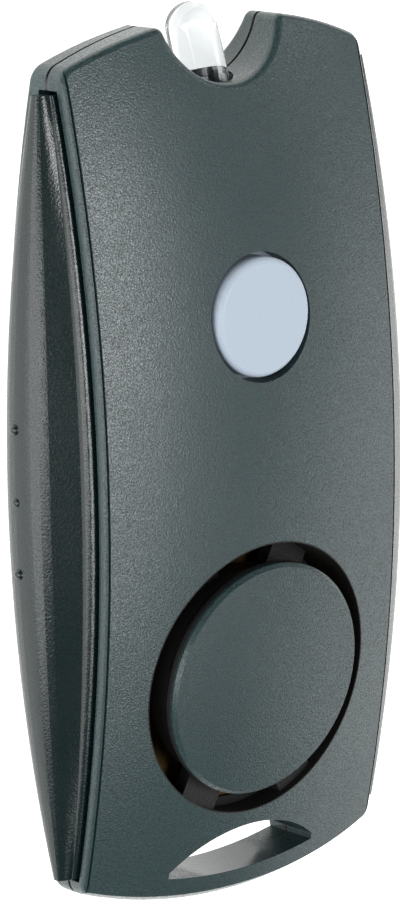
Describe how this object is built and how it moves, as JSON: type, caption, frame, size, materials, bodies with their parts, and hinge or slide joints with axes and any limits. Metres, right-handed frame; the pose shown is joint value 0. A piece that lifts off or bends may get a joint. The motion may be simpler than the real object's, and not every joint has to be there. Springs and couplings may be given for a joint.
{
  "type": "panic alarm",
  "caption": "Pocket panic alarm with bowed dark shells, squeeze bars along the sides, round siren disc, pale round lamp button, lamp in an end notch and a keyring slot.",
  "frame": {"origin": "middle of the flat rest on the back, on the alarm's centre line", "axes": "+X across the width, +Y along the length towards the lamp, +Z out of the front face"},
  "size_m": [0.0482, 0.0869, 0.0165],
  "materials": {
    "shell_plastic": "spark-textured dark grey moulding",
    "bar_plastic": "spark-textured dark grey moulding",
    "button_plastic": "satin pale blue-grey moulding",
    "switch_plastic": "matt black moulding",
    "clear_resin": "clear cast epoxy",
    "tinned_wire": "tinned",
    "board_laminate": "green solder mask",
    "plate_brass": "rolled sheet",
    "ceramic": "fired, silvered",
    "ring_plastic": "matt moulding",
    "lead_insulation": "red insulation",
    "ferrite": "pressed ferrite",
    "copper_wire": "enamelled copper",
    "chip_epoxy": "moulded epoxy",
    "capacitor_body": "fired body",
    "cell_steel": "nickel-plated can",
    "contact_nickel": "nickel-plated spring steel",
    "leaf_bronze": "rolled bronze strip",
    "cover_plastic": "spark-textured dark grey moulding",
    "screw_steel": "dark zinc-plated"
  },
  "bodies": {
    "housing": {"front_shell": "shell_plastic", "back_shell": "shell_plastic", "button_switch": "switch_plastic", "lamp": "clear_resin", "lamp_leads": "tinned_wire", "circuit_board": "board_laminate", "sounder_plate": "plate_brass", "sounder_ceramic": "ceramic", "sounder_clamp_ring": "ring_plastic", "sounder_leads": "lead_insulation", "coil_core": "ferrite", "coil_winding": "copper_wire", "driver_chip": "chip_epoxy", "drive_transistor": "chip_epoxy", "chip_resistors": "chip_epoxy", "chip_capacitor": "capacitor_body", "button_cells": "cell_steel", "positive_contact": "contact_nickel", "negative_contact": "contact_nickel", "battery_spring": "contact_nickel", "left_contact_leaf": "leaf_bronze", "right_contact_leaf": "leaf_bronze", "battery_cover": "cover_plastic", "cover_screw": "screw_steel", "case_screws": "screw_steel"},
    "left_bar": {"left_squeeze_bar": "bar_plastic"},
    "right_bar": {"right_squeeze_bar": "bar_plastic"},
    "button": {"lamp_button": "button_plastic", "switch_plunger": "switch_plastic"}
  },
  "joints": [
    {"name": "left_squeeze", "type": "slide", "parent": "housing", "child": "left_bar", "axis": [1, 0, 0], "range_m": [0, 0.001], "stiffness_N_per_m": 3000, "springref_m": -0.0006, "deforming": ["left_contact_leaf"]},
    {"name": "right_squeeze", "type": "slide", "parent": "housing", "child": "right_bar", "axis": [-1, 0, 0], "range_m": [0, 0.001], "stiffness_N_per_m": 3000, "springref_m": -0.0006, "deforming": ["right_contact_leaf"]},
    {"name": "lamp_press", "type": "slide", "parent": "housing", "child": "button", "axis": [0, 0, -1], "range_m": [0, 0.0003], "stiffness_N_per_m": 3000, "springref_m": -0.0004}
  ]
}
